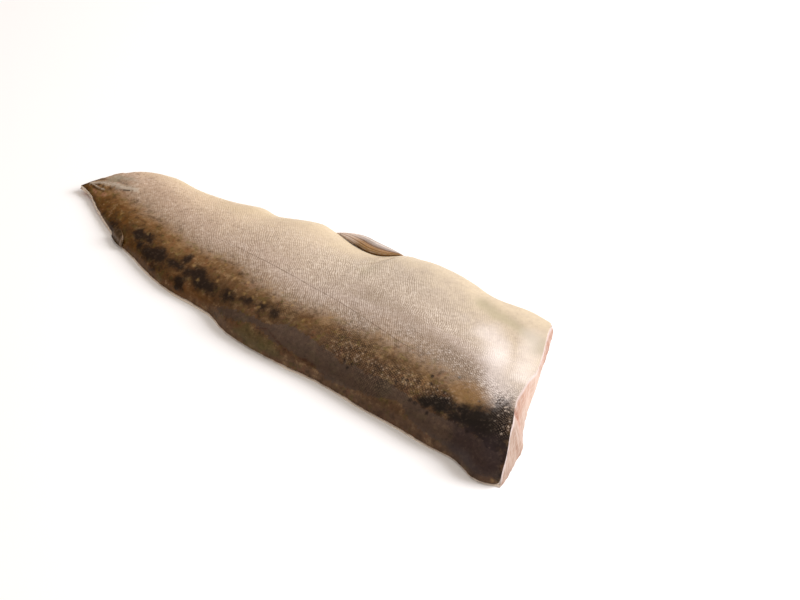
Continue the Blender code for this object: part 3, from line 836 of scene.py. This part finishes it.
# %% Char skin: its wet, broken surface
rise = add(tree, "MapRange", in0=row_gap, in1=0.0, in2=0.25)
rise = add(tree, "Math", MULTIPLY, in0=rise, in1=flank)
for name in ("netted", "glitter", "speckle"):
    layer = add(tree, "Attribute", {"attribute_name": name})
    dome = add(tree, "MapRange", in0=scale_cell, in1=0.65, in2=0.1)
    dome = add(tree, "Math", MULTIPLY, in0=dome, in1=layer)
    rise = add(tree, "Math", {"operation": "ADD"}, in0=rise, in1=dome)
rise = add(tree, "Math", {"operation": "MULTIPLY_ADD"}, in0=fine, in1=0.7, in2=rise)
rise = add(tree, "Math", {"operation": "SUBTRACT"}, in0=rise, in1=thread)
surface = add(tree, "Bump", Strength=0.55, Distance=0.15 * MM, Height=rise)
wetness = add(tree, "MapRange", in0=middling, in1=0.3, in2=0.7, in3=0.36, in4=0.52)
shader = add(tree, "BsdfPrincipled", Base_Color=colour, Roughness=wetness, Normal=surface, IOR=1.36,
             Specular_IOR_Level=0.2, Coat_Weight=0.06, Coat_Roughness=0.15, Coat_IOR=1.33)
add(tree, "OutputMaterial", Surface=shader)
skin.data.materials.append(char_skin)
print(char_skin.name, "has", len(tree.nodes), "nodes")

# %% [markdown]
# The skin's edge shows where the knife went through it. The inner layer of fish skin is gristle, so
# the edge is pale and dull. Along the back that edge faces away from the light, so it is painted almost
# white, lighter than the gristle, as painted light; at the ends it is darker. One mottled colour for
# each place, mixed by the share of the width, is enough for a line that is less than a millimetre wide.

# %% The skin's cut edge
# Cut gristle: moist, but rough from the knife, so the eye gets a soft shine and no clear highlight.
skin_edge, tree = new_material("cut edge of fish skin, gristle")
body = add(tree, "TexCoord").outputs["Object"]
mottle = add(tree, "TexNoise", Vector=body, Scale=0.5 / (2 * MM), Detail=2)
# Painted light: along the back the gristle is lightened almost to white, because that edge faces away from
# the light.
back_rim_painted_light = add(tree, "ValToRGB", {"stops": [(0.35, "#efe0cc"), (0.65, "#fff6ea")]}, in0=mottle)
cut_rim = add(tree, "ValToRGB", {"stops": [(0.35, "#8a705a"), (0.65, "#bfa893")]}, in0=mottle)
off_back = add(tree, "MapRange", in0=add(tree, "Attribute", {"attribute_name": "share"}), in1=0.0, in2=0.03)
colour = add(tree, "Mix", RGBA, in0=off_back, in6=back_rim_painted_light, in7=cut_rim)
shader = add(tree, "BsdfPrincipled", Base_Color=colour, Roughness=0.45, IOR=1.36, Coat_Weight=0.15,
             Coat_Roughness=0.2)
add(tree, "OutputMaterial", Surface=shader)
skin.data.materials.append(skin_edge)
print("the skin's materials:", [material.name for material in skin.data.materials])

# %% The skin takes its place
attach(skin, "root")
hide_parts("skin")
print(skin.name, "now stands for the skin")

# %% [markdown]
# The flesh is seen at the knife's cuts: at the head end, where the whole loin is cut through, and in
# a thin line under the skin's edge. Raw char is pale and pink where it is cut across, and orange on
# the side that lay on the bones. The walls of the solid are divided finely, so that the cut can have
# the flakes, the furrow and the slightly ragged foot that a knife leaves.

# %% The flesh, its walls and its underside divided finely
flesh = copy_of("flesh", "char_flesh")
WALL_CUTS, UNDERSIDE_CUTS = 6, 3
STEEP, FACES_HEAD = 0.8, 0.7  # shares of a normal that point down or up, and towards the head
middles = read(flesh.data.polygons, "center", 3)
turned = read(flesh.data.polygons, "normal", 3)
low_wall = (np.abs(turned[:, 2]) < STEEP) & (middles[:, 2] < 0.5 * cad_high.z)
walls = low_wall | (turned[:, 0] > FACES_HEAD)
underside = turned[:, 2] < -STEEP
for chosen, cuts in ((underside, UNDERSIDE_CUTS), (walls, WALL_CUTS)):
    pick(flesh)
    wanted = {tuple(np.round(middle, 6)) for middle in middles[chosen]}
    pick_faces(flesh, lambda middle, normal: tuple(np.round(middle, 6)) in wanted)
    bpy.ops.object.mode_set(mode="EDIT")
    bpy.ops.mesh.subdivide(number_cuts=cuts)
    bpy.ops.object.mode_set(mode="OBJECT")
    print("the flesh has", len(flesh.data.polygons), "faces")

# %% How deep each point of the flesh lies under the skin
skin_points = read(skin.data.vertices, "co", 3)
under = kdtree.KDTree(len(skin_points))
for index, place in enumerate(skin_points):
    under.insert(place, index)
under.balance()
places = read(flesh.data.vertices, "co", 3)
outward = read(flesh.data.vertices, "normal", 3)
below = np.array([under.find(place)[2] for place in places]) / MM
print("the flesh is up to", round(below.max(), 1), "mm below the skin")

# %% Where it lies along and across the fillet, and which of it is the cut at the head
along = (places[:, 0] - tail_tip[0]) / MM
edges_y = []
for at_edge in (SHARE < 0.01, SHARE > 0.99):
    order = np.argsort(ALONG[at_edge])
    edge_points = skin_points[:len(ALONG)][at_edge][order]
    edges_y.append(np.interp(along, ALONG[at_edge][order], edge_points[:, 1]) / MM)
back_y, belly_y = edges_y
across = np.clip((places[:, 1] / MM - back_y) / (belly_y - back_y), 0, 1)
end_cut = step(0.25, 0.6, outward[:, 0])
print("points on the cut:", int((end_cut > 0.5).sum()))

# %% The underside's flakes: chevrons that meet over the backbone's place, with a narrow gap between
FLAKE_PITCH, FLAKE_SLANT, GAP_DEPTH = 4.6, 110, 0.32  # mm, mm for the whole width, mm
SEPTUM = 0.36  # the share of the width at which the flakes of the back and of the belly meet
chevrons = (along + FLAKE_SLANT * np.abs(across - SEPTUM) + 2.0 * rough(places, 20, 11)) / FLAKE_PITCH
gap = 0.5 + 0.5 * np.cos(2 * np.pi * chevrons)
lies_down = step(-0.7, -0.95, outward[:, 2])
well_inside = step(0.015, 0.06, across) * step(1, 0.96, across)
upward = GAP_DEPTH * gap ** 3 * lies_down * well_inside
print("flakes on the underside:", round(np.ptp(chevrons)))


# %% The cut's furrow, between two blocks of muscle, and the redder flesh beside it
def on_cut_face(marks, radius):
    """A layer of soft dabs on the cut, each (along, share, mm below the skin at that mark)."""
    nearest = np.full(len(places), np.inf)
    for along_mm, share_of_width, down in marks:
        above = np.argmin(np.hypot(ALONG - along_mm, (SHARE - share_of_width) * WIDTH_MM))
        spot = skin_points[above] - [0, 0, down * MM]
        nearest = np.minimum(nearest, np.linalg.norm((places - spot) * [0, 1, 0.6], axis=1) / MM)
    return np.exp(-((nearest / radius) ** 2)) * end_cut


furrow = on_cut_face([(381.5, 0.285, 1.5), (380.5, 0.30, 5), (380, 0.315, 9)], 2.2)
blush = on_cut_face([(370, 0.50, 4), (374, 0.43, 5), (378, 0.36, 8), (380, 0.31, 13)], 5.0)
print("furrow up to", round(furrow.max(), 2), "and blush up to", round(blush.max(), 2))

# %% The flesh's relief, which stays clear of the skin and of the table
FURROW_DEPTH, FOOT_ROUGHNESS, FLAKES_STAND = 1.6, 0.5, 0.35
SKIN_ROOM = 0.4  # mm: the flesh that the skin hides sinks, so that the folds stay clear of it
stretched = places * [1, 1, FLAKES_STAND]
flaky = 0.55 * rough(stretched, 7, 12) + 0.35 * rough(stretched, 2.8, 13)
free = step(0.4, 2.2, below)
relief = (flaky * end_cut - FURROW_DEPTH * furrow) * free
foot = step(4, 0.2, places[:, 2] / MM) * end_cut
relief += FOOT_ROUGHNESS * foot * rough(places, 5, 14) * free
places += outward * relief[:, None] * MM
hidden = step(0.25, 0.05, outward[:, 0]) * step(0.1, 0.4, outward[:, 2])
hidden *= step(0.01, 0.03, across) * step(0.99, 0.97, across)
upward = upward - SKIN_ROOM * hidden
places[:, 2] = np.maximum(places[:, 2] + upward * MM, 0)
move_points(flesh, places)
pick(flesh)
bpy.ops.object.shade_smooth_by_angle(angle=SOFT_UP_TO)
print("flesh relief from", round(relief.min(), 2), "to", round(relief.max(), 2), "mm")

# %% What the flesh's material reads: the depth, the flakes, the furrow and a pale rim by the skin
SHEET_PITCH = 3.1  # mm between the sheets of gristle that show on the cut
# The rim by the skin is pale fat, painted nearly white as painted light, because that wall faces away from
# the light.
rim = np.maximum(step(0.03, 0.012, across), step(0.97, 0.988, across))
rim *= step(-0.9, -0.6, outward[:, 2]) * (1 - end_cut)
sheets = (below + 0.8 * rough(places, 12, 15) + 6 * np.abs(across - SEPTUM)) / SHEET_PITCH
for name, values in (
    ("under_skin", below), ("sheets", sheets), ("end_cut", end_cut), ("across", across), ("along", along),
    ("furrow", furrow), ("blush", blush), ("chevrons", chevrons), ("down", lies_down), ("rim", rim),
):
    store(flesh, name, values)

# %% [markdown]
# Raw char flesh is orange on the side that lay on the bones, and paler and pinker towards the nape,
# where the thin belly wall has its membrane. Cut across, it is a greyish pink that turns paler from
# the loin to the belly. Thin white sheets of gristle part its flakes. A picture could show all this,
# but the sheets have to follow the flakes of the mesh, so each sheet is drawn from the layer that also
# shaped them, and the colours are mixed in the order in which they cover one another.

# %% Raw char flesh: orange on the underside, with sheets of gristle between the flakes
# Raw muscle: moist and smooth where it is cut. The eye gets a soft shine over a cloudy colour.
char_flesh, tree = new_material("raw char flesh, moist")
body = add(tree, "TexCoord").outputs["Object"]
mottle = add(tree, "TexNoise", Vector=body, Scale=0.5 / (6 * MM), Detail=3, Roughness=0.6)
fine = add(tree, "TexNoise", Vector=body, Scale=0.5 / (1.2 * MM), Detail=3, Roughness=0.6)
orange = add(tree, "ValToRGB", {"stops": [(0.3, "#bf7040"), (0.7, "#d08a58")]}, in0=mottle)
pink = add(tree, "ValToRGB", {"stops": [(0.3, "#cf8d76"), (0.7, "#dda792")]}, in0=mottle)
names = ("across", "along", "chevrons", "sheets", "end_cut", "under_skin")
layer = {name: add(tree, "Attribute", {"attribute_name": name}) for name in names}
to_belly = add(tree, "MapRange", SMOOTH, in0=layer["across"], in1=0.62, in2=0.9)
to_nape = add(tree, "MapRange", SMOOTH, in0=layer["along"], in1=190, in2=330)
membrane = add(tree, "Math", MULTIPLY, in0=to_belly, in1=to_nape)
below_colour = add(tree, "Mix", RGBA, in0=membrane, in6=orange, in7=pink)

uneven = add(tree, "MapRange", in0=fine, in1=0.35, in2=0.6)
sheet = {}
for name, wide, strength in (("chevrons", 0.36, 0.5), ("sheets", 0.34, 0.3)):
    turns = add(tree, "Math", {"operation": "FRACT"}, in0=layer[name])
    off_middle = add(tree, "Math", {"operation": "SUBTRACT"}, in0=turns, in1=0.5)
    off_middle = add(tree, "Math", {"operation": "ABSOLUTE"}, in0=off_middle)
    line = add(tree, "MapRange", SMOOTH, in0=off_middle, in1=wide, in2=0.48, in4=strength)
    sheet[name] = add(tree, "Math", MULTIPLY, in0=line, in1=uneven)
below_colour = add(tree, "Mix", RGBA, in0=sheet["chevrons"], in6=below_colour, in7="#e8bd96")
print("two kinds of sheets:", sorted(sheet))

# %% Raw char flesh: the cut, greyer through the loin than through the thin belly wall
loin_cut = add(tree, "ValToRGB", {"stops": [(0.3, "#8b6b58"), (0.5, "#967b69"), (0.7, "#a38c7d")]},
               in0=mottle)
belly_cut = add(tree, "ValToRGB", {"stops": [(0.3, "#a5826c"), (0.7, "#bda797")]}, in0=mottle)
nape_cut = add(tree, "ValToRGB", {"stops": [(0.3, "#946c58"), (0.7, "#a47e6b")]}, in0=mottle)
colour = loin_cut
for starts, ends, next_cut in ((0.34, 0.5, belly_cut), (0.66, 0.8, nape_cut)):
    so_far = add(tree, "MapRange", in0=layer["across"], in1=starts, in2=ends)
    colour = add(tree, "Mix", RGBA, in0=so_far, in6=colour, in7=next_cut)
for name, strength, code in (
    ("blush", 0.6, "#a06b4e"), ("furrow", 0.95, "#874f38"), ("down", 1, below_colour),
    # rim: pale fat, painted nearly white as painted light on a wall in shade
    ("rim", 0.9, "#fff2e2"),
):
    here = add(tree, "Attribute", {"attribute_name": name})
    cover = add(tree, "Math", MULTIPLY, in0=here, in1=strength)
    colour = add(tree, "Mix", RGBA, in0=cover, in6=colour, in7=code)
near_skin = add(tree, "MapRange", SMOOTH, in0=layer["under_skin"], in1=3.0, in2=1.2, in4=0.6)
for source, code in ((sheet["sheets"], "#d3c3b8"), (near_skin, "#c2b8b6")):
    cover = add(tree, "Math", MULTIPLY, in0=source, in1=layer["end_cut"])
    colour = add(tree, "Mix", RGBA, in0=cover, in6=colour, in7=code)
print("colours of the cut:", sum(node.type == "VALTORGB" for node in tree.nodes))

# %% Raw char flesh: its moist surface, and the flesh takes its place
surface = add(tree, "Bump", Strength=0.4, Distance=0.3 * MM, Height=fine)
shader = add(tree, "BsdfPrincipled", Base_Color=colour, Roughness=0.38, Normal=surface, IOR=1.38,
             Specular_IOR_Level=0.35, Coat_Weight=0.2, Coat_Roughness=0.2)
add(tree, "OutputMaterial", Surface=shader)
flesh.data.materials.append(char_flesh)
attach(flesh, "root")
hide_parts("flesh")
print(char_flesh.name, "has", len(tree.nodes), "nodes")

# %% [markdown]
# The pelvic fin lies folded back against the belly. It is a fan of soft rays in a thin skin: shut, the
# rays lie side by side and meet at the base, towards the head. The solid already has their low waves.
# The copy is made finer, each wave is sharpened into a ray, and the material darkens the skin between.

# %% The pelvic fin, and where each of its points lies
pelvic_fin = copy_of("pelvic_fin", "char_pelvic_fin")
places = read(pelvic_fin.data.vertices, "co", 3)
station = np.round(places[:, 0] / MM, 2)
stations = np.unique(station)
inner_rim = np.array([places[station == here, 1].min() for here in stations])
outer_rim = np.array([places[station == here, 1].max() for here in stations])
finish_with(pelvic_fin, "SUBSURF", levels=2, render_levels=2, subdivision_type="SIMPLE")
print("the fin's rims are read at", len(stations), "places")

# %% Its rays, sharpened
FIN_RAYS, RAY_HEIGHT, RAY_SHARPNESS = 8, 0.14, 0.6
places = read(pelvic_fin.data.vertices, "co", 3)
outward = read(pelvic_fin.data.vertices, "normal", 3)
inner, outer = (np.interp(places[:, 0] / MM, stations, edge_y) for edge_y in (inner_rim, outer_rim))
fin_across = np.clip((places[:, 1] - inner) / np.maximum(outer - inner, 0.1 * MM), 0, 1)
fin_along = (places[:, 0] - places[:, 0].min()) / np.ptp(places[:, 0])
store(pelvic_fin, "fin_across", fin_across)
store(pelvic_fin, "fin_along", fin_along)
waves = np.cos(2 * np.pi * FIN_RAYS * (fin_across - 0.25 / FIN_RAYS))
full = step(0, 0.15, fin_along) * step(1, 0.9, fin_along)
full *= step(0, 0.08, fin_across) * step(1, 0.92, fin_across) * (outward[:, 2] > 0)
rays = RAY_HEIGHT * np.sign(waves) * np.abs(waves) ** RAY_SHARPNESS * full
places += outward * rays[:, None] * MM
move_points(pelvic_fin, places)
pick(pelvic_fin)
bpy.ops.object.shade_smooth_by_angle(angle=math.radians(85))
print("the pelvic fin has", len(pelvic_fin.data.polygons), "faces")

# %% [markdown]
# The fin's skin is thin, wet and clear, so what shows is the grey of the rays, a silver rim, and
# olive-brown pigment near the body, darkest at the inner edge, where painted shade marks the fin lying
# against the belly. It pales to cream at the base. A colour ramp across the fin gives the bands, and a
# cosine of the same number of waves as there are rays darkens the skin between them, so that colour and
# relief fall together.

# %% Fin skin: its bands, its pale base and the darker skin between the rays
# Wet skin over soft rays: smoother than the scaled hide, so its shine is narrower.
fin_skin, tree = new_material("wet fin skin over soft rays")
body = add(tree, "TexCoord").outputs["Object"]
mottle = add(tree, "TexNoise", Vector=body, Scale=0.5 / (3 * MM), Detail=3, Roughness=0.6)
fine = add(tree, "TexNoise", Vector=body, Scale=0.5 / (0.8 * MM), Detail=2)
out_across = add(tree, "Attribute", {"attribute_name": "fin_across"})
# Darkest at the inner edge: brown pigment, with painted shade where the fin lies against the belly.
colour = add(tree, "ValToRGB", {"stops": [
    (0.0, "#6b4d27"), (0.10, "#7f6039"), (0.30, "#9f7748"), (0.48, "#8b6d54"), (0.58, "#7c6e66"),
    (0.68, "#aa9d95"), (0.86, "#d6cac1"), (1.0, "#c4b6aa"),
]}, in0=out_across)
out_along = add(tree, "Attribute", {"attribute_name": "fin_along"})
to_tip = add(tree, "MapRange", in0=out_along, in1=0.13, in2=0.44, in3=0.95, in4=0.0)
colour = add(tree, "Mix", RGBA, in0=to_tip, in6=colour, in7="#e2cfc0")
turn = 2 * math.pi * FIN_RAYS
phase = add(tree, "Math", {"operation": "MULTIPLY_ADD"}, in0=out_across, in1=turn, in2=-math.pi / 2)
ray = add(tree, "Math", {"operation": "COSINE"}, in0=phase)
between = add(tree, "MapRange", in0=ray, in1=0.0, in2=-0.9, in4=0.27)
colour = add(tree, "Mix", RGBA, in0=between, in6=colour, in7="#4a382a")
print("rays in the fin:", FIN_RAYS)

# %% Fin skin: the glints on the rays, stains and the wet surface
on_ray = add(tree, "MapRange", in0=ray, in1=0.5, in2=1.0, in4=0.4)
lively = add(tree, "MapRange", in0=fine, in1=0.35, in2=0.65)
on_ray = add(tree, "Math", MULTIPLY, in0=on_ray, in1=lively)
colour = add(tree, "Mix", RGBA, in0=on_ray, in6=colour, in7="#b5aca8")
stained = add(tree, "MapRange", in0=mottle, in1=0.5, in2=0.7, in4=0.2)
colour = add(tree, "Mix", RGBA, in0=stained, in6=colour, in7="#5b4a33")
surface = add(tree, "Bump", Strength=0.3, Distance=0.1 * MM, Height=fine)
shader = add(tree, "BsdfPrincipled", Base_Color=colour, Roughness=0.35, Normal=surface, IOR=1.36,
             Specular_IOR_Level=0.3, Coat_Weight=0.15, Coat_Roughness=0.15)
add(tree, "OutputMaterial", Surface=shader)
pelvic_fin.data.materials.append(fin_skin)
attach(pelvic_fin, "root")
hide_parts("pelvic_fin")
print(fin_skin.name, "has", len(tree.nodes), "nodes")

# %% [markdown]
# The adipose fin is a small soft flap without rays, behind the back fin. On this fillet only a stub is
# left, creased against the back's cut edge. It is wet, brown and olive like the back, with two pale
# creases that meet, so the copy is smoothed and gets the creases on its top.

# %% The adipose fin's stub
adipose_fin = copy_of("adipose_fin", "char_adipose_fin")
finish_with(adipose_fin, "SUBSURF", levels=2, render_levels=2, subdivision_type="SIMPLE")
places = read(adipose_fin.data.vertices, "co", 3)
outward = read(adipose_fin.data.vertices, "normal", 3)
stub_low, stub_high = places.min(axis=0), places.max(axis=0)
stub = (places - stub_low) / (stub_high - stub_low)
upright = np.exp(-(((stub[:, 0] - 0.86) / 0.08) ** 2))
slanting = np.exp(-(((0.75 * stub[:, 0] + stub[:, 1] - 0.78) / 0.07) ** 2)) * step(0.05, 0.3, stub[:, 0])
creases = np.maximum(upright, 0.5 * slanting)
CREASE_HEIGHT, SUNKEN, LUMPS = 0.4, 0.3, 0.2  # mm
relief = CREASE_HEIGHT * creases - SUNKEN + LUMPS * rough(places, 3, 21)
places += outward * (relief * (outward[:, 2] > 0))[:, None] * MM
move_points(adipose_fin, places)
store(adipose_fin, "crease", creases)
store(adipose_fin, "outer", step(0.70, 0.55, 0.75 * stub[:, 0] + stub[:, 1]))
pick(adipose_fin)
bpy.ops.object.shade_smooth_by_angle(angle=math.radians(60))

# %% [markdown]
# The stub's skin is the back's, without scales: wet and dark, with a little fat under it that makes it
# look soft. Its two creases are stretched and pale, and the flap beyond them lies in its own shade. A
# mottled ramp gives the brown, and the crease layer that shaped the stub also pales it.

# %% The adipose fin's skin
# Bare wet skin over fat: dark, with a low and broad shine.
stub_skin, tree = new_material("wet dark skin of the adipose fin")
body = add(tree, "TexCoord").outputs["Object"]
mottle = add(tree, "TexNoise", Vector=body, Scale=0.5 / (2 * MM), Detail=3, Roughness=0.6)
colour = add(tree, "ValToRGB", {"stops": [(0.3, "#3a2812"), (0.5, "#4d3820"), (0.72, "#64503a")]},
             in0=mottle)
for name, strength, code in (("outer", 0.6, "#2c2412"), ("crease", 0.55, "#9d8570")):
    here = add(tree, "Attribute", {"attribute_name": name})
    cover = add(tree, "Math", MULTIPLY, in0=here, in1=strength)
    colour = add(tree, "Mix", RGBA, in0=cover, in6=colour, in7=code)
shader = add(tree, "BsdfPrincipled", Base_Color=colour, Roughness=0.4, IOR=1.36, Specular_IOR_Level=0.2,
             Coat_Weight=0.08, Coat_Roughness=0.2)
add(tree, "OutputMaterial", Surface=shader)
adipose_fin.data.materials.append(stub_skin)
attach(adipose_fin, "root")
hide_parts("adipose_fin")
print(stub_skin.name, "has", len(tree.nodes), "nodes")

# %% [markdown]
# The floor is a plain white board, and the light is that of a white studio: a pale sky all round and
# one large soft light high at the right and behind, which lays a faint shadow to the lower left.

# %% The floor
# Matt white board: it scatters light evenly, so the eye gets a plain ground with a soft shadow.
FLOOR_SIZE = 8.0
bpy.ops.object.select_all(action="DESELECT")
bpy.ops.mesh.primitive_plane_add(size=FLOOR_SIZE, location=(0, 0, -0.1 * MM))
floor = bpy.context.object
floor.name = "floor"
white_board, tree = new_material("matt white board")
shader = add(tree, "BsdfPrincipled", Base_Color="#f7f7f7", Roughness=0.9, Specular_IOR_Level=0.1)
add(tree, "OutputMaterial", Surface=shader)
floor.data.materials.append(white_board)
floor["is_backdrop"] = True
print("floor", FLOOR_SIZE, "m wide")


# %% The lights: one large soft window, and a studio that is bright above and dim all round
def soft_light(name, place, size, watts, code):
    """A square light that faces the fillet, so large that its shadows have no hard edge."""
    lamp = bpy.data.lights.new(name, "AREA")
    lamp.shape, lamp.size, lamp.energy, lamp.color = "SQUARE", size, watts, linear(code)[:3]
    made = bpy.data.objects.new(name, lamp)
    bpy.context.scene.collection.objects.link(made)
    made.location = place
    made.rotation_euler = (Vector(place) - AIM).to_track_quat("Z", "Y").to_euler()
    print(name, "gives", watts, "W")


WINDOW_PLACE, WINDOW_SIZE, WINDOW_WATTS = (1.12, 0.97, 1.0), 1.0, 44.5
soft_light("window", WINDOW_PLACE, WINDOW_SIZE, WINDOW_WATTS, "#fdfcff")
studio = bpy.data.worlds.new("studio")
bpy.context.scene.world = studio
studio.use_nodes = True
studio.node_tree.nodes.clear()
tree = studio.node_tree
upwards = add(tree, "SeparateXYZ", in0=add(tree, "TexCoord").outputs["Generated"]).outputs[2]
sky = add(tree, "ValToRGB", {"stops": [(0.0, "#6e6259"), (0.45, "#a2968d"), (0.85, "#fff5ec")]},
          in0=upwards)
glow = add(tree, "Background", Color=sky, Strength=0.85)
add(tree, "OutputWorld", Surface=glow)
print("the sky has", len(sky.color_ramp.elements), "tones")

# %% The visual model's size, and the lesson ends
low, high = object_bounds()
print("visual model, mm:", [round((b - a) / MM, 1) for a, b in zip(low, high)])
